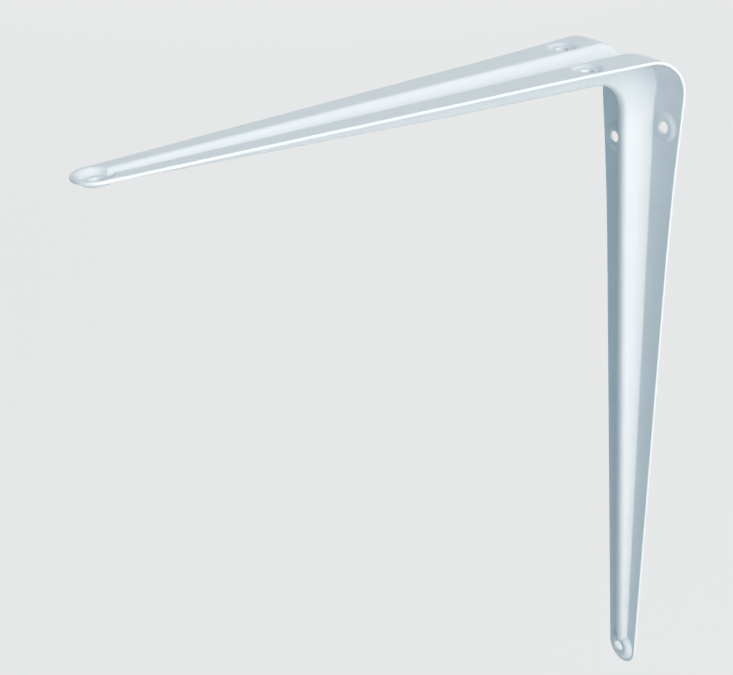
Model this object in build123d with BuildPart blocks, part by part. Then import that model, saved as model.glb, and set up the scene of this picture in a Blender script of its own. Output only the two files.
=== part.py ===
from build123d import *
import math
import os

# One-piece pressed steel shelf bracket, two arms at a right angle.
# Frame: the wall is the plane x = 0 and the shelf lies on z = 0. The shelf arm runs along +X,
# the wall arm down -Z, and the bracket's middle plane is y = 0. Millimetres.

# Overall sizes
shelf_arm = 250.0
wall_arm = 300.0
sheet = 1.25
bend_radius = 18.5

# Outline of the flat sheet, as half widths measured from the middle plane
half_width_at_bend = 24.9
half_width_after_bend = 24.2
half_width_at_shoulder = 21.9
half_width_at_straight = 17.8
shoulder = 42.0
straight_from = 100.0
tip_radius = 8.3

# The trough, pressed by a tool of one section: a round floor between two leaning flanks. It is
# sunk less deep towards the tips, in two straight runs on each arm that meet at a knee.
floor_radius = 3.0
flank_lean = 26.0
shelf_bend_depth = 12.45
shelf_knee = 100.0
shelf_knee_depth = 9.8
shelf_end_depth = 3.2
shelf_end_from_tip = 20.0
wall_bend_depth = 10.75
wall_knee = 80.0
wall_knee_depth = 9.3
wall_end_depth = 3.0
wall_end_from_tip = 18.5

# Roundings of the pressing: the rib's crest inside the bend, and the rib's root
rib_bend_radius = 14.0
root_radius = 0.8

# Screw holes, each in the floor of a pressed dish
screw_hole = 5.0
hole_off_middle = 14.5
shelf_near_hole = 31.0
shelf_far_hole = 42.5
wall_near_hole = 32.2
wall_far_hole = 43.7
tip_hole_from_tip = 8.6
dish_depth = 0.9
dish_rim_radius = 5.2
tip_dish_depth = 1.5
tip_dish_rim_radius = 6.9
dish_slope = 34.0

# Half width of the sheet before its outline is cut
blank_half_width = half_width_at_bend + sheet

# The axis that the rib's crest turns about, and the height of the tool's top over the outer
# faces, which is enough to stand out of the sheet all round the bend
tool_clear = 1.5
rib_axis_x = wall_bend_depth + sheet + rib_bend_radius
rib_axis_z = -(shelf_bend_depth + sheet + rib_bend_radius)
axes_apart = math.hypot(rib_axis_x - bend_radius, rib_axis_z + bend_radius)
tool_height = tool_clear + axes_apart + bend_radius + rib_axis_z


def shelf_plane(station):
    """Plane across the shelf arm, facing its tip, with its y along the shelf face's normal."""
    return Plane(origin=(station, 0, 0), x_dir=(0, 1, 0), z_dir=(1, 0, 0))


def wall_plane(station):
    """Plane across the wall arm, facing its tip, with its y along the wall face's normal."""
    return Plane(origin=(0, 0, -station), x_dir=(0, -1, 0), z_dir=(0, 0, -1))


def tool_section(plane, depth, skin, half=False):
    """Section of the press tool sunk to a depth, wider all round by a skin of sheet.

    The half section, turned about its middle, closes the trough's end.
    """
    lean = math.radians(flank_lean)
    radius = floor_radius + skin
    centre_height = floor_radius - depth
    foot = (radius * math.cos(lean), centre_height - radius * math.sin(lean))
    top = (foot[0] + (tool_height - foot[1]) * math.tan(lean), tool_height)
    floor = (0, centre_height - radius)
    with BuildSketch(plane) as section:
        with BuildLine():
            Line((0, tool_height), top)
            Line(top, foot)
            TangentArc(foot, floor, tangent=(foot[0] - top[0], foot[1] - top[1]))
            if half:
                Line(floor, (0, tool_height))
            else:
                mirror(about=Plane.YZ)
        make_face()
    return section.sketch


def press_tool(skin):
    """The tool along both arms and round the bend, wider all round by a skin of sheet."""
    shelf_stops = [
        (shelf_plane(rib_axis_x), shelf_bend_depth),
        (shelf_plane(shelf_knee), shelf_knee_depth),
        (shelf_plane(shelf_arm - shelf_end_from_tip), shelf_end_depth),
    ]
    wall_stops = [
        (wall_plane(-rib_axis_z), wall_bend_depth),
        (wall_plane(wall_knee), wall_knee_depth),
        (wall_plane(wall_arm - wall_end_from_tip), wall_end_depth),
    ]
    with BuildPart() as tool:
        for stops in (shelf_stops, wall_stops):
            loft(sections=[tool_section(plane, depth, skin) for plane, depth in stops], ruled=True)
            across, end_depth = stops[-1]
            closing = tool_section(across, end_depth, skin, half=True)
            revolve(closing, axis=Axis(across.origin, -across.y_dir), revolution_arc=180)
        corner = tool_section(shelf_plane(rib_axis_x), shelf_bend_depth, skin)
        revolve(corner, axis=Axis((rib_axis_x, 0, rib_axis_z), (0, 1, 0)), revolution_arc=-90)
    return tool.part


def inside_corner(depth):
    """The region on the inner side of the bracket's corner, a depth under its outer faces."""
    radius = bend_radius - depth
    with BuildSketch(Plane.XZ) as region:
        with BuildLine():
            Line((bend_radius, -depth), (shelf_arm, -depth))
            Line((shelf_arm, -depth), (shelf_arm, -wall_arm))
            Line((shelf_arm, -wall_arm), (depth, -wall_arm))
            Line((depth, -wall_arm), (depth, -bend_radius))
            CenterArc((bend_radius, -bend_radius), radius, 180, -90)
        make_face()
    return region


def dish(face, station, off_middle, depth, rim_radius):
    """A screw hole in the floor of a round dish pressed from the outer face.

    The face plane lies on the arm's outer face, x towards the tip, normal outwards. The dish's
    side is a cone, and the sheet keeps its thickness in it.
    """
    with BuildSketch(face) as opening:
        with Locations((station, off_middle)):
            Circle(rim_radius)
    extrude(opening.sketch, amount=-sheet, mode=Mode.SUBTRACT)
    slope = math.radians(dish_slope)
    floor = rim_radius - depth / math.tan(slope)
    turn_in = sheet * math.tan(slope / 2)
    hole = screw_hole / 2
    place = face.from_local_coords((station, off_middle, 0))
    with BuildSketch(Plane(origin=place, x_dir=face.x_dir, z_dir=-face.y_dir)) as ring:
        with BuildLine():
            Polyline(
                (hole, -depth),
                (floor, -depth),
                (rim_radius, 0),
                (rim_radius, -sheet),
                (rim_radius - turn_in, -sheet),
                (floor - turn_in, -depth - sheet),
                (hole, -depth - sheet),
                close=True,
            )
        make_face()
    revolve(ring.sketch, axis=Axis(place, face.z_dir))


def cut_outline(face, length):
    """Trims one arm's sheet to its outline: flared at the bend, straight taper, round tip."""
    tip_centre = length - tip_radius
    along = tip_centre - straight_from
    reach = math.hypot(along, half_width_at_straight)
    taper = math.atan2(half_width_at_straight, along) - math.asin(tip_radius / reach)
    widest = bend_radius * (1 - math.sqrt(0.5))
    tip_side = (tip_centre + tip_radius * math.sin(taper), tip_radius * math.cos(taper))
    corner = (-sheet, half_width_at_bend)
    start = (widest, half_width_at_bend)
    flare = [
        start,
        (bend_radius, half_width_after_bend),
        (shoulder, half_width_at_shoulder),
        (straight_from, half_width_at_straight),
    ]
    with BuildSketch(face) as outline:
        with BuildLine():
            Line(corner, start)
            Spline(*flare, tangents=[(1, 0), (math.cos(taper), -math.sin(taper))])
            Line(flare[-1], tip_side)
            ThreePointArc(tip_side, (length, 0), (tip_side[0], -tip_side[1]))
            mirror(about=Plane.XZ)
            Line(corner, (corner[0], -corner[1]))
        make_face()
    extrude(outline.sketch, amount=shelf_arm + wall_arm, both=True, mode=Mode.INTERSECT)


shelf_face = Plane(origin=(0, 0, 0), x_dir=(1, 0, 0), z_dir=(0, 0, 1))
wall_face = Plane(origin=(0, 0, 0), x_dir=(0, 0, -1), z_dir=(-1, 0, 0))

# The rib: the tool grown by the sheet's thickness, from the middle of the sheet inwards
with BuildPart() as rib:
    add(press_tool(sheet))
    extrude(inside_corner(sheet / 2).sketch, amount=blank_half_width, both=True, mode=Mode.INTERSECT)

with BuildPart() as bracket:
    extrude(inside_corner(0).sketch, amount=blank_half_width, both=True)
    extrude(inside_corner(sheet).sketch, amount=blank_half_width, both=True, mode=Mode.SUBTRACT)
    cut_outline(shelf_face, shelf_arm)
    cut_outline(wall_face, wall_arm)
    add(rib.part)
    root = bracket.edges(Select.NEW)
    add(press_tool(0), mode=Mode.SUBTRACT)
    mouth = bracket.edges(Select.NEW)
    fillet(root, root_radius)
    fillet(mouth, root_radius + sheet)
    dish(shelf_face, shelf_far_hole, hole_off_middle, dish_depth, dish_rim_radius)
    dish(shelf_face, shelf_near_hole, -hole_off_middle, dish_depth, dish_rim_radius)
    dish(shelf_face, shelf_arm - tip_hole_from_tip, 0, tip_dish_depth, tip_dish_rim_radius)
    dish(wall_face, wall_far_hole, hole_off_middle, dish_depth, dish_rim_radius)
    dish(wall_face, wall_near_hole, -hole_off_middle, dish_depth, dish_rim_radius)
    dish(wall_face, wall_arm - tip_hole_from_tip, 0, tip_dish_depth, tip_dish_rim_radius)

os.makedirs("parts", exist_ok=True)
bracket.part.label = "bracket"
export_step(bracket.part, "parts/bracket.step")
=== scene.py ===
"""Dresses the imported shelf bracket: one pressed sheet in white stove enamel, a studio and a camera."""
import math

import bpy
import numpy as np
from bpy.props import FloatProperty, FloatVectorProperty, PointerProperty, StringProperty
from mathutils import Matrix, Vector


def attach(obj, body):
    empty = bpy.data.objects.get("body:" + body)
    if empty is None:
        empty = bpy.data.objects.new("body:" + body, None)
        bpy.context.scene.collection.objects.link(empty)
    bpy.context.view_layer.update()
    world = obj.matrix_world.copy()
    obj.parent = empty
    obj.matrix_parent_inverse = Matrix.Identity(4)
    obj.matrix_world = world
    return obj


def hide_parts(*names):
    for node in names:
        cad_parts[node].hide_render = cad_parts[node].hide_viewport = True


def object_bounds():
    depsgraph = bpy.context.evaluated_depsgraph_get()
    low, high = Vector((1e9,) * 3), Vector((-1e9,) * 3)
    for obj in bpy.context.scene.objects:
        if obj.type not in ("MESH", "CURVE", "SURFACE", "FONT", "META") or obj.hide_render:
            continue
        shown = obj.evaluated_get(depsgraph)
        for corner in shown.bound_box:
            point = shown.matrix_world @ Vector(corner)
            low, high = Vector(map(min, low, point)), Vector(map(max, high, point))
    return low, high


bl_info = {
    "name": "Pressed shelf bracket",
    "version": (1, 0, 0),
    "blender": (4, 5, 0),
    "location": "View3D > Sidebar > Bracket",
    "description": "Presses a steel shelf bracket out of one sheet, paints it in white enamel and lights it",
    "category": "Object",
}

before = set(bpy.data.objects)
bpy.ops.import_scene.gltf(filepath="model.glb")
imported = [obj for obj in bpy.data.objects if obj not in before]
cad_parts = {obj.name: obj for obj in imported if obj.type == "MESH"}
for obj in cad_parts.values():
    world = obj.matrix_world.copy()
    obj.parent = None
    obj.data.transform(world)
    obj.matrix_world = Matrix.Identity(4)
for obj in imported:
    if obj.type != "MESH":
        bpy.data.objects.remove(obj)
CAD_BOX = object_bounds()
MM = 0.001

# The outline, as (distance from the corner, half width), then straight to a round tip
FLARE = np.array([(5.42, 24.9), (18.5, 24.2), (42.0, 21.9), (100.0, 17.8)]) * MM
TIP_RADIUS = 8.3 * MM

# The press tool's section: a round floor between two leaning flanks
FLOOR_RADIUS = 1.8 * MM
LEAN = math.radians(29.0)
# The rounding where the sheet turns into the trough, and the floor's own turn inside the bend
MOUTH_RADIUS = 1.8 * MM
FLOOR_BEND_RADIUS = 15.25 * MM

# Each arm from the corner out: trough depths as (distance, depth), and screw dishes as (distance, y)
SHELF = {
    "length": CAD_BOX[1][0],
    "trough": np.array([(26.0, 12.45), (100.0, 9.8), (230.0, 3.2), (235.5, 2.7)]) * MM,
    "dishes": np.array([(31.0, -14.5), (42.5, 14.5), (241.4, 0.0)]) * MM,
}
WALL = {
    "length": -CAD_BOX[0][2],
    "trough": np.array([(27.7, 10.75), (80.0, 9.3), (281.5, 3.0), (286.0, 2.6)]) * MM,
    "dishes": np.array([(32.2, 14.5), (43.7, -14.5), (291.4, 0.0)]) * MM,
}
# Depth, rim radius and rim softness of the two dishes beside the trough and of the tip's, and the
# slopes of their sides
DISH_SIZES = np.array([(1.0, 6.0, 0.45), (1.0, 6.0, 0.45), (2.2, 6.7, 0.5)]) * MM
DISH_SLOPES = np.tan(np.radians([30.0, 30.0, 45.0]))
HOLE_RADIUS = 2.5 * MM
# The higher this power, the sharper the trough and a dish meet
MERGE = 5.0

# Row spacing of the mesh, in mm, at distances in mm from an arm's tip and from the corner
TIP_ROWS = [(0, 0.42), (22, 0.46), (28, 0.9), (34, 2.4)]
CORNER_ROWS = [(57, 2.4), (51, 0.55), (24, 0.52), (19, 0.7)]
ROW_MARGIN = 2 * MM
ROW_SAMPLES = 40001
# Column spacing at the tips and elsewhere. Over this many columns beside the middle it is halved
TIP_COLUMN = 0.36 * MM
COLUMN = 0.5 * MM
NARROWED = 5
# A point of the mesh is kept up to this share of a cell outside the edge, then slid this many times
KEPT_SHARE = 0.45
SLIDES = 5
# Steps of the differences that give the face's directions and the slope of the room to an edge
FACE_STEP = 0.02 * MM
ROOM_STEP = 0.01 * MM
# Turns of the quarter circle that rounds a cut edge
EDGE_TURNS = np.radians([30.0, 60.0, 90.0])

# The enamel's index of refraction, and how far its roughness swings below and above the middle
ENAMEL_IOR = 1.52
GLOSS_SWING = (0.04, 0.06)
# A Mix node's two colours are its inputs 6 and 7, and their mix is its output 2
MIX_FIRST, MIX_SECOND, MIX_RESULT = 6, 7, 2

# Each lamp: name, place, side, power in watts, colour, and whether it is mirrored in the enamel. The
# one behind isn't, so that the shelf arm's face keeps its tone
LAMPS = (
    ("high_key", (0.18, 2.1, 1.5), 1.9, 43.0, "FFE6D6", True),
    ("key", (0.18, 2.4, 0.6), 1.9, 21.5, "FFE6D6", True),
    ("wall_side", (-1.1, 2.3, 0.7), 1.9, 11.5, "DCF6FF", True),
    ("shelf_side", (1.3, 2.3, 0.5), 1.9, 13.5, "C8ECFF", True),
    ("top", (0.1, 0.0, 1.9), 1.5, 4.2, "E8F6FF", True),
    ("back", (-1.2, -2.2, 0.5), 1.9, 18.0, "FFF1E8", False),
)
LAMP_AIM = (0.1, 0.0, -0.1)
# The room's cool light on the bracket, and the pale background that is seen in its place
ROOM_LIGHT = "84DCFF"
ROOM_STRENGTH = 0.25
PALE = "E6E6E6"
# The even tone that the paper shows, and the distance from the middle to its sides
PAPER_TONE = "EEEEEE"
PAPER_REACH = 6.0

SENSOR_WIDTH = 36.0
NEAREST_SEEN = 0.01


def linear(text):
    """An sRGB hex colour as linear red, green, blue and alpha."""
    values = [int(text[k : k + 2], 16) / 255 for k in (0, 2, 4)]
    bent = [v / 12.92 if v <= 0.04045 else ((v + 0.055) / 1.055) ** 2.4 for v in values]
    return (*bent, 1.0)


def add_node(tree, kind, inputs=None, **settings):
    """Adds a node with its settings; each input is a plain value or the socket that is linked to it."""
    node = tree.nodes.new(kind)
    for name, value in settings.items():
        setattr(node, name, value)
    for name, value in (inputs or {}).items():
        if isinstance(value, bpy.types.NodeSocket):
            tree.links.new(value, node.inputs[name])
        else:
            node.inputs[name].default_value = value
    return node


class BRACKET_PG_sheet(bpy.types.PropertyGroup):
    """The sheet's thickness, its bend and its edges."""

    thickness: FloatProperty(
        name="Thickness", description="Thickness of the steel", default=1.25 * MM, precision=5, unit="LENGTH"
    )
    bend_radius: FloatProperty(
        name="Bend radius",
        description="Outer radius of the bend",
        default=18.5 * MM,
        precision=4,
        unit="LENGTH",
    )
    edge_round: FloatProperty(
        name="Edge rounding",
        description="Rounding of the cut edges under the paint",
        default=0.3 * MM,
        precision=5,
        unit="LENGTH",
    )


class BRACKET_PG_paint(bpy.types.PropertyGroup):
    """The enamel's colours, gloss and texture."""

    colour: StringProperty(name="Colour", description="Enamel colour, sRGB hex", default="E7EDF0")
    thin_colour: StringProperty(
        name="Thin colour",
        description="Where the coat is thinner and the steel greys it, sRGB hex",
        default="E3EAED",
    )
    roughness: FloatProperty(
        name="Roughness", description="Gloss of the enamel", default=0.3, min=0, max=1, subtype="FACTOR"
    )
    cloud_size: FloatProperty(
        name="Cloud size",
        description="Width of one patch of thinner or glossier coat",
        default=25.0 * MM,
        precision=4,
        unit="LENGTH",
    )
    peel_size: FloatProperty(
        name="Peel size",
        description="Width of one ripple of the sprayed surface",
        default=2.2 * MM,
        precision=5,
        unit="LENGTH",
    )
    peel_depth: FloatProperty(
        name="Peel depth", description="Height of the ripples", default=0.002 * MM, precision=6, unit="LENGTH"
    )


class BRACKET_PG_stage(bpy.types.PropertyGroup):
    """The floor and the camera."""

    floor_drop: FloatProperty(
        name="Floor drop", description="From the wall tip down to the floor", default=0.16, unit="LENGTH"
    )
    floor_colour: StringProperty(
        name="Floor colour", description="The paper's colour, sRGB hex", default="E6E6E6"
    )
    even_tone: FloatProperty(
        name="Even tone",
        description="Share of the floor's look that is one even tone",
        default=0.85,
        subtype="FACTOR",
    )
    camera_azimuth: FloatProperty(
        name="Azimuth",
        description="Way the camera stands round the bracket",
        default=math.radians(147.13),
        subtype="ANGLE",
    )
    camera_elevation: FloatProperty(
        name="Elevation",
        description="Angle that the camera looks down by",
        default=math.radians(25.58),
        subtype="ANGLE",
    )
    camera_roll: FloatProperty(
        name="Roll", description="Lean of the camera", default=math.radians(-2.24), subtype="ANGLE"
    )
    camera_distance: FloatProperty(
        name="Distance", description="From the camera to its target", default=653.64 * MM, unit="LENGTH"
    )
    camera_target: FloatVectorProperty(
        name="Target",
        description="Point in the middle of the frame",
        default=(137.69 * MM, 0, -90.56 * MM),
        subtype="XYZ",
        unit="LENGTH",
    )
    lens: FloatProperty(name="Lens", description="Focal length in mm", default=84.10, unit="CAMERA")


def arc_length(sheet):
    """Length of the bend along the outer face."""
    return sheet.bend_radius * math.pi / 2


def along_from(arm, distance, sheet):
    """How far along the sheet, from the shelf tip, a point of an arm lies at a distance from the corner."""
    if arm is SHELF:
        return SHELF["length"] - distance
    return SHELF["length"] + arc_length(sheet) - 2 * sheet.bend_radius + distance


def outer_path(along, sheet):
    """The outer face's line in the middle plane: x and z, and the outward normal's x and z.

    It runs in along z = 0, round a quarter circle of the bend's radius, and down x = 0.
    """
    radius = sheet.bend_radius
    run = SHELF["length"] - radius
    turn = np.clip((along - run) / radius, 0, math.pi / 2)
    down = np.maximum(along - run - arc_length(sheet), 0)
    x = SHELF["length"] - np.minimum(along, run) - radius * np.sin(turn)
    z = -radius * (1 - np.cos(turn)) - down
    return x, z, -np.sin(turn), np.cos(turn)


def outline_room(distance, y, arm):
    """How far a point lies inside one arm's outline.

    The half width is a cubic spline through FLARE, level at the bend and tangent at its far end to
    the straight side, and the straight side is tangent to the tip's circle. The spline's slopes at
    its two inner points are those at which its curvature doesn't jump.
    """
    centre = arm["length"] - TIP_RADIUS
    run = centre - FLARE[-1, 0]
    reach = math.hypot(run, FLARE[-1, 1])
    taper = math.atan2(FLARE[-1, 1], run) - math.asin(TIP_RADIUS / reach)
    steps = np.diff(FLARE[:, 0])
    rises = np.diff(FLARE[:, 1]) / steps
    ends = (0.0, -math.tan(taper))
    matrix = [[2 / steps[0] + 2 / steps[1], 1 / steps[1]], [1 / steps[1], 2 / steps[1] + 2 / steps[2]]]
    right = 3 * (rises[:-1] / steps[:-1] + rises[1:] / steps[1:])
    right -= np.array([ends[0] / steps[0], ends[1] / steps[2]])
    slopes = np.array([ends[0], *np.linalg.solve(matrix, right), ends[1]])
    k = np.clip(np.searchsorted(FLARE[:, 0], distance) - 1, 0, len(steps) - 1)
    t = np.clip((distance - FLARE[k, 0]) / steps[k], 0, 1)
    width = (
        FLARE[k, 1] * (1 + 2 * t) * (1 - t) ** 2
        + FLARE[k + 1, 1] * t * t * (3 - 2 * t)
        + slopes[k] * steps[k] * t * (1 - t) ** 2
        - slopes[k + 1] * steps[k] * t * t * (1 - t)
    )
    width += ends[1] * np.maximum(distance - FLARE[-1, 0], 0)
    past = distance - centre
    side = (width - np.abs(y)) * math.cos(taper)
    tip = TIP_RADIUS - np.hypot(past, y)
    return np.where(past * math.cos(taper) > np.abs(y) * math.sin(taper), tip, side)


def room(along, y, sheet):
    """How far a point of the flat sheet lies inside its outline and outside its holes."""
    x, z, _, _ = outer_path(along, sheet)
    least = np.minimum(outline_room(x, y, SHELF), outline_room(-z, y, WALL))
    for arm in (SHELF, WALL):
        for distance, off in arm["dishes"]:
            gap = np.hypot(along - along_from(arm, distance, sheet), y - off) - HOLE_RADIUS
            least = np.minimum(least, gap)
    return least


def tool_depth(depth, q):
    """The tool's depth at q off its middle: its round floor, then its straight leaning flank."""
    foot = FLOOR_RADIUS * math.cos(LEAN)
    floor = depth - FLOOR_RADIUS + np.sqrt(np.maximum(FLOOR_RADIUS**2 - q * q, 0))
    mouth = foot + (depth - FLOOR_RADIUS + FLOOR_RADIUS * math.sin(LEAN)) * math.tan(LEAN)
    return np.where(q < foot, floor, (mouth - q) / math.tan(LEAN))


def soft(value, width):
    """The larger of a value and nought, with the corner between them rounded.

    Within the width of nought it is the square of (value + width), over four times the width.
    """
    rounded = (value + width) ** 2 / (4 * width)
    return np.where(np.abs(value) < width, rounded, np.maximum(value, 0))


def pressed_depth(along, y, sheet):
    """How deep the sheet's outer face is pressed in, along the face's normal.

    On an arm the tool sinks to the depth read from the arm's table, and past the last distance q is
    the distance from the tool's last middle point, which makes the round end. In the bend the
    section turns about an axis, so the depth is where the normal meets a circle about it.
    A circle of the mouth's radius, tangent to the face and to the flank, rounds the mouth.
    A dish is a cone with soft corners at its rim and floor. It joins the trough as the root of the
    sum of both depths, each raised to the power MERGE.
    """
    x, z, across, upward = outer_path(along, sheet)
    axis_x, axis_z = SHELF["trough"][0, 0], -WALL["trough"][0, 0]
    off_x, off_z = x - axis_x, z - axis_z
    facing = off_x * across + off_z * upward
    apart = np.hypot(off_x, off_z)
    ring = FLOOR_BEND_RADIUS + SHELF["trough"][0, 1] - tool_depth(SHELF["trough"][0, 1], np.abs(y))
    sunk = facing - np.sqrt(facing**2 - apart**2 + ring**2)
    steep = apart / facing / math.tan(LEAN)
    for arm, distance in ((SHELF, x), (WALL, -z)):
        stops = arm["trough"]
        on_arm = distance > stops[0, 0]
        q = np.hypot(np.maximum(distance - stops[-1, 0], 0), y)
        straight = tool_depth(np.interp(distance, stops[:, 0], stops[:, 1]), q)
        sunk = np.where(on_arm, straight, sunk)
        steep = np.where(on_arm, 1 / math.tan(LEAN), steep)
    lean = np.arctan(1 / steep)
    tangent = MOUTH_RADIUS * np.tan((math.pi / 2 - lean) / 2)
    into = np.clip(sunk / steep + tangent, 0, MOUTH_RADIUS * np.cos(lean))
    rounded = MOUTH_RADIUS - np.sqrt(MOUTH_RADIUS**2 - into**2)
    depth = np.where(sunk / steep > tangent * np.sin(lean), sunk, rounded)
    for arm in (SHELF, WALL):
        for (distance, off), (sink, rim, softness), slope in zip(arm["dishes"], DISH_SIZES, DISH_SLOPES):
            away = np.hypot(along - along_from(arm, distance, sheet), y - off)
            dish = sink - soft(sink - soft((rim - away) * slope, softness), softness)
            depth = ((depth / MM) ** MERGE + (dish / MM) ** MERGE) ** (1 / MERGE) * MM
    return depth


def outer_points(along, y, sheet):
    """Points of the pressed outer face."""
    x, z, across, upward = outer_path(along, sheet)
    depth = pressed_depth(along, y, sheet)
    return np.stack([x - across * depth, y, z - upward * depth], axis=-1)


def unit(vectors):
    """The vectors at length one."""
    return vectors / np.linalg.norm(vectors, axis=-1, keepdims=True)


def face_axes(along, y, sheet):
    """Unit vectors along the sheet, across it and out of its outer face, from differences."""
    step = FACE_STEP
    run = unit(outer_points(along + step, y, sheet) - outer_points(along - step, y, sheet))
    cross = unit(outer_points(along, y + step, sheet) - outer_points(along, y - step, sheet))
    return run, cross, unit(np.cross(cross, run))


def room_slope(along, y, sheet):
    """The slope of room along and across the sheet, from differences."""
    step = ROOM_STEP
    run = (room(along + step, y, sheet) - room(along - step, y, sheet)) / (2 * step)
    cross = (room(along, y + step, sheet) - room(along, y - step, sheet)) / (2 * step)
    return run, cross


def lattice(sheet):
    """Rows and columns over the flat sheet, closer at the tips, beside the holes and in the bend.

    A row stands wherever the sum of one over the row spacing passes a whole number. Column k stands
    at k less half of NARROWED times the hyperbolic tangent of k / NARROWED, times the spacing.
    """
    end = along_from(WALL, WALL["length"], sheet)
    stops = [(distance * MM, step) for distance, step in TIP_ROWS]
    for arm, rows in ((SHELF, CORNER_ROWS), (WALL, CORNER_ROWS[::-1])):
        stops += [(along_from(arm, distance * MM, sheet), step) for distance, step in rows]
    stops += [(end - distance * MM, step) for distance, step in TIP_ROWS[::-1]]
    places, steps = np.array(stops).T
    fine = np.linspace(-ROW_MARGIN, end + ROW_MARGIN, ROW_SAMPLES)
    spacing = np.interp(fine, places, steps) * MM
    count = np.cumsum(np.diff(fine, prepend=fine[0]) / spacing)
    rows = np.interp(np.arange(int(count[-1]) + 1), count, fine)
    corner_zone = [places[len(TIP_ROWS)], places[-len(TIP_ROWS) - 1]]
    closer = np.interp(rows, [0, *corner_zone, end], [TIP_COLUMN, COLUMN, COLUMN, TIP_COLUMN])
    half = math.ceil(FLARE[0, 1] / COLUMN) + NARROWED
    columns = np.arange(-half, half + 1)
    columns = columns - NARROWED / 2 * np.tanh(columns / NARROWED)
    along = np.repeat(rows[:, None], len(columns), axis=1)
    y = columns[None, :] * closer[:, None]
    return along, y, np.gradient(rows)[:, None], np.gradient(y, axis=1)


def trimmed_lattice(sheet):
    """The lattice cut to the sheet's outline and holes, its last points moved onto their edges.

    A point is kept while it lies less than about half a cell outside, and a kept point beside one
    that isn't kept slides down the slope of room until it lies on the edge's inset line.
    """
    along, y, row_step, column_step = lattice(sheet)
    run, cross = room_slope(along, y, sheet)
    reach = np.maximum(np.abs(run) * row_step, np.abs(cross) * column_step)
    kept = room(along, y, sheet) - sheet.edge_round > -KEPT_SHARE * reach
    padded = np.pad(kept, 1)
    inner = padded[:-2, 1:-1] & padded[2:, 1:-1] & padded[1:-1, :-2] & padded[1:-1, 2:]
    edge = kept & ~inner
    on_along, on_y = along[edge], y[edge]
    for _ in range(SLIDES):
        run, cross = room_slope(on_along, on_y, sheet)
        short = (room(on_along, on_y, sheet) - sheet.edge_round) / (run**2 + cross**2)
        on_along, on_y = on_along - short * run, on_y - short * cross
    along[edge], y[edge] = on_along, on_y

    numbers = np.arange(kept.size).reshape(kept.shape)
    cells = np.stack([numbers[:-1, :-1], numbers[:-1, 1:], numbers[1:, 1:], numbers[1:, :-1]], axis=-1)
    cells = cells.reshape(-1, 4)
    good = kept.ravel()[cells]
    fours = cells[good.all(axis=1)]
    three = good.sum(axis=1) == 3
    threes = cells[three][good[three]].reshape(-1, 3)
    threes = threes[~edge.ravel()[threes].all(axis=1)]
    used = np.unique(np.concatenate([fours.ravel(), threes.ravel()]))
    place = np.zeros(kept.size, dtype=int)
    place[used] = np.arange(len(used))
    return along.ravel()[used], y.ravel()[used], place[fours], place[threes]


def free_edges(fours, threes, count):
    """The directed edges that only one face has."""
    pairs = [fours[:, [k, (k + 1) % 4]] for k in range(4)] + [threes[:, [k, (k + 1) % 3]] for k in range(3)]
    pairs = np.concatenate(pairs)
    forward = pairs[:, 0] * count + pairs[:, 1]
    back = pairs[:, 1] * count + pairs[:, 0]
    return pairs[~np.isin(forward, back)]


def sheet_mesh(sheet):
    """The pressed sheet: its outer face, its inner face one thickness behind, and round edges.

    The inner face is the outer one moved along its own normals. The edge is a profile carried
    along the outline and the holes: a quarter circle, a straight wall and a quarter circle.
    """
    along, y, fours, threes = trimmed_lattice(sheet)
    count = len(along)
    out = face_axes(along, y, sheet)[2]
    outer = outer_points(along, y, sheet)
    points = [outer, outer - out * sheet.thickness]
    normals = [out, -out]

    rim = free_edges(fours, threes, count)
    corners = np.unique(rim)
    order = np.zeros(count, dtype=int)
    order[corners] = np.arange(len(corners))
    run, cross = room_slope(along[corners], y[corners], sheet)
    size = np.hypot(run, cross)
    run, cross = run / size, cross / size
    layers = [corners]
    profile = [(turn, 1) for turn in EDGE_TURNS] + [(turn, -1) for turn in EDGE_TURNS[::-1]]
    for turn, side in profile:
        shift = sheet.edge_round * math.sin(turn)
        there, beside = along[corners] - run * shift, y[corners] - cross * shift
        way, wide, up = face_axes(there, beside, sheet)
        depth = sheet.edge_round * (1 - math.cos(turn))
        depth = depth if side > 0 else sheet.thickness - depth
        away = -unit(run[:, None] * way + cross[:, None] * wide)
        layers.append(2 * count + (len(layers) - 1) * len(corners) + np.arange(len(corners)))
        points.append(outer_points(there, beside, sheet) - up * depth)
        normals.append(unit(side * math.cos(turn) * up + math.sin(turn) * away))
    layers.append(corners + count)
    a, b = order[rim[:, 0]], order[rim[:, 1]]
    walls = [np.stack([low[b], low[a], high[a], high[b]], axis=1) for low, high in zip(layers, layers[1:])]

    faces = np.concatenate([fours, fours[:, ::-1] + count, *walls]).tolist()
    faces += np.concatenate([threes, threes[:, ::-1] + count]).tolist()
    mesh = bpy.data.meshes.new("pressed_sheet")
    mesh.from_pydata(np.concatenate(points).tolist(), [], faces)
    mesh.validate()
    mesh.shade_smooth()
    mesh.normals_split_custom_set_from_vertices(np.concatenate(normals).tolist())
    mesh.update()
    return mesh


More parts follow.
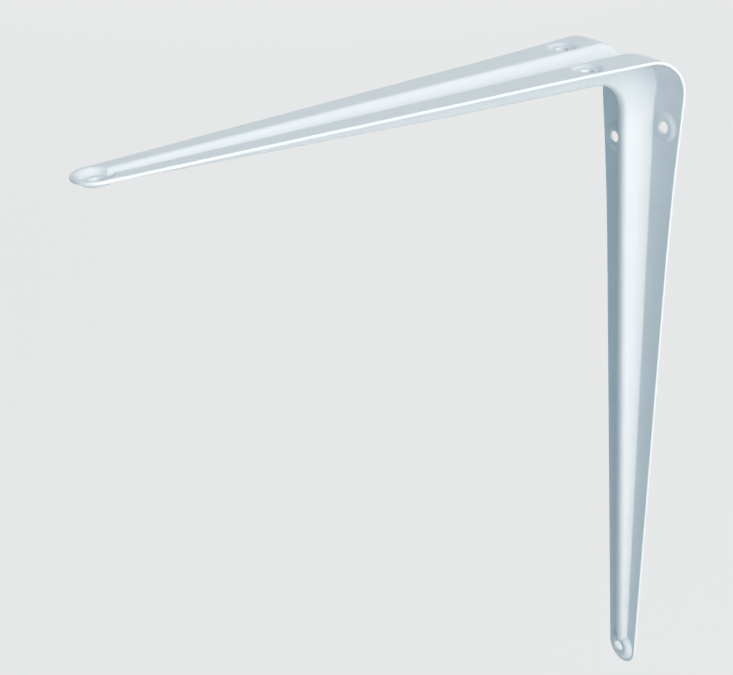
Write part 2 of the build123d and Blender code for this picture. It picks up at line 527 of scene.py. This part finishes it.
def enamel(paint):
    """White stove enamel, sprayed on pressed steel and baked.

    It gives the eye a clean, slightly cool white with soft broad highlights. Close to, they ripple
    faintly with orange peel, at the real 2 mm width of a ripple, and in patches of a few
    centimetres the coat is a little thinner, where it greys, and more or less glossy.
    """
    material = bpy.data.materials.new("baked_white_enamel")
    material.use_nodes = True
    tree = material.node_tree
    tree.nodes.clear()
    place = add_node(tree, "ShaderNodeTexCoord").outputs["Object"]
    peel = add_node(
        tree,
        "ShaderNodeTexNoise",
        {"Vector": place, "Scale": 1 / paint.peel_size, "Detail": 2.0, "Roughness": 0.45},
    )
    bump = add_node(
        tree,
        "ShaderNodeBump",
        {"Height": peel.outputs["Fac"], "Distance": paint.peel_depth, "Strength": 1.0},
    )
    cloud = add_node(
        tree, "ShaderNodeTexNoise", {"Vector": place, "Scale": 1 / paint.cloud_size, "Detail": 3.0}
    ).outputs["Fac"]
    gloss = add_node(
        tree,
        "ShaderNodeMapRange",
        {
            "Value": cloud,
            "To Min": paint.roughness - GLOSS_SWING[0],
            "To Max": paint.roughness + GLOSS_SWING[1],
        },
    )
    coat = add_node(
        tree,
        "ShaderNodeMix",
        {"Factor": cloud, MIX_FIRST: linear(paint.thin_colour), MIX_SECOND: linear(paint.colour)},
        data_type="RGBA",
    )
    shader = add_node(
        tree,
        "ShaderNodeBsdfPrincipled",
        {
            "Base Color": coat.outputs[MIX_RESULT],
            "Roughness": gloss.outputs["Result"],
            "IOR": ENAMEL_IOR,
            "Normal": bump.outputs["Normal"],
        },
    )
    add_node(tree, "ShaderNodeOutputMaterial", {"Surface": shader.outputs["BSDF"]})
    return material


class BRACKET_OT_sheet(bpy.types.Operator):
    """Presses the sheet and paints it."""

    bl_idname = "bracket.sheet"
    bl_label = "Pressed sheet"

    def execute(self, context):
        mesh = sheet_mesh(context.scene.bracket_sheet)
        mesh.materials.append(enamel(context.scene.bracket_paint))
        piece = bpy.data.objects.new("pressed_sheet", mesh)
        context.scene.collection.objects.link(piece)
        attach(piece, "root")
        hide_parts("bracket")
        return {"FINISHED"}


def seen_rays(tree):
    """One for the rays of the camera, of reflections and of glass, which see the pale background."""
    path = add_node(tree, "ShaderNodeLightPath").outputs
    seen = path["Is Camera Ray"]
    for kind in ("Is Glossy Ray", "Is Transmission Ray"):
        seen = add_node(tree, "ShaderNodeMath", {0: seen, 1: path[kind]}, operation="MAXIMUM").outputs[0]
    return seen


def pale_paper(stage):
    """Matt white paper. The eye gets mostly one even tone, and in the rest the bracket's soft shadow."""
    material = bpy.data.materials.new("pale_paper")
    material.use_nodes = True
    tree = material.node_tree
    tree.nodes.clear()
    paper = add_node(tree, "ShaderNodeBsdfDiffuse", {"Color": linear(stage.floor_colour)})
    tone = add_node(tree, "ShaderNodeEmission", {"Color": linear(PAPER_TONE), "Strength": 1.0})
    share = add_node(tree, "ShaderNodeMath", {0: seen_rays(tree), 1: stage.even_tone}, operation="MULTIPLY")
    mixed = add_node(
        tree, "ShaderNodeMixShader", {0: share.outputs[0], 1: paper.outputs[0], 2: tone.outputs[0]}
    )
    add_node(tree, "ShaderNodeOutputMaterial", {"Surface": mixed.outputs[0]})
    return material


def paper_floor(stage):
    """A flat square sheet of paper, a drop below the wall arm's tip."""
    low = CAD_BOX[0][2] - stage.floor_drop
    reach = PAPER_REACH
    corners = [(-reach, -reach, low), (reach, -reach, low), (reach, reach, low), (-reach, reach, low)]
    mesh = bpy.data.meshes.new("floor")
    mesh.from_pydata(corners, [], [(0, 1, 2, 3)])
    mesh.materials.append(pale_paper(stage))
    return bpy.data.objects.new("floor", mesh)


def studio_world():
    """The room's cool light, which camera, reflections and glass see as the pale background."""
    world = bpy.data.worlds.new("studio")
    world.use_nodes = True
    tree = world.node_tree
    tree.nodes.clear()
    light = add_node(tree, "ShaderNodeBackground", {"Color": linear(ROOM_LIGHT), "Strength": ROOM_STRENGTH})
    pale = add_node(tree, "ShaderNodeBackground", {"Color": linear(PALE), "Strength": 1.0})
    mixed = add_node(
        tree, "ShaderNodeMixShader", {0: seen_rays(tree), 1: light.outputs[0], 2: pale.outputs[0]}
    )
    add_node(tree, "ShaderNodeOutputWorld", {"Surface": mixed.outputs[0]})
    return world


def soft_lamp(name, place, side, power, colour, mirrored):
    """A square lamp at a place, facing the bracket's middle."""
    lamp = bpy.data.lights.new(name, "AREA")
    lamp.size = side
    lamp.energy = power
    lamp.color = linear(colour)[:3]
    lamp_object = bpy.data.objects.new(name, lamp)
    lamp_object.location = place
    lamp_object.rotation_euler = (Vector(LAMP_AIM) - Vector(place)).to_track_quat("-Z", "Y").to_euler()
    lamp_object.visible_glossy = mirrored
    return lamp_object


def camera_matrix(stage):
    """The camera's place and axes from its turn, height, roll, target and distance."""
    turn, rise, roll = stage.camera_azimuth, stage.camera_elevation, stage.camera_roll
    back = Vector((math.sin(turn) * math.cos(rise), -math.cos(turn) * math.cos(rise), math.sin(rise)))
    level = Vector((math.cos(turn), math.sin(turn), 0))
    upward = back.cross(level)
    right = level * math.cos(roll) + upward * math.sin(roll)
    up = upward * math.cos(roll) - level * math.sin(roll)
    matrix = Matrix((right, up, back)).transposed().to_4x4()
    matrix.translation = Vector(stage.camera_target) + back * stage.camera_distance
    return matrix


def studio_camera(stage):
    """The camera at the photograph's place, with its lens."""
    camera = bpy.data.cameras.new("camera")
    camera.sensor_fit = "HORIZONTAL"
    camera.sensor_width = SENSOR_WIDTH
    camera.lens = stage.lens
    camera.clip_start = NEAREST_SEEN
    camera_object = bpy.data.objects.new("camera", camera)
    camera_object.matrix_world = camera_matrix(stage)
    return camera_object


class BRACKET_OT_stage(bpy.types.Operator):
    """Sets the floor, the lights, the world and the camera."""

    bl_idname = "bracket.stage"
    bl_label = "Stage"

    def execute(self, context):
        scene = context.scene
        floor = paper_floor(scene.bracket_stage)
        camera = studio_camera(scene.bracket_stage)
        for item in (floor, *(soft_lamp(*lamp) for lamp in LAMPS), camera):
            scene.collection.objects.link(item)
        scene.world = studio_world()
        scene.camera = camera
        scene.view_settings.view_transform = "Standard"
        return {"FINISHED"}


class BRACKET_PT_panel(bpy.types.Panel):
    """Lists the bracket's steps in the sidebar."""

    bl_label = "Shelf bracket"
    bl_space_type = "VIEW_3D"
    bl_region_type = "UI"
    bl_category = "Bracket"

    def draw(self, context):
        for step in STEPS:
            self.layout.operator(step.bl_idname)
        scene = context.scene
        for group in (scene.bracket_sheet, scene.bracket_paint, scene.bracket_stage):
            for name in group.__annotations__:
                self.layout.prop(group, name)


STEPS = (BRACKET_OT_sheet, BRACKET_OT_stage)
CLASSES = (BRACKET_PG_sheet, BRACKET_PG_paint, BRACKET_PG_stage, *STEPS, BRACKET_PT_panel)


def register():
    """Adds the classes and hangs the three groups of values on the scene."""
    for item in CLASSES:
        bpy.utils.register_class(item)
    bpy.types.Scene.bracket_sheet = PointerProperty(type=BRACKET_PG_sheet)
    bpy.types.Scene.bracket_paint = PointerProperty(type=BRACKET_PG_paint)
    bpy.types.Scene.bracket_stage = PointerProperty(type=BRACKET_PG_stage)


def unregister():
    """Takes them away again."""
    del bpy.types.Scene.bracket_stage
    del bpy.types.Scene.bracket_paint
    del bpy.types.Scene.bracket_sheet
    for item in reversed(CLASSES):
        bpy.utils.unregister_class(item)


def main():
    """Registers the classes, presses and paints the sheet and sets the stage."""
    register()
    bpy.ops.bracket.sheet()
    bpy.ops.bracket.stage()


if __name__ == "__main__":
    main()
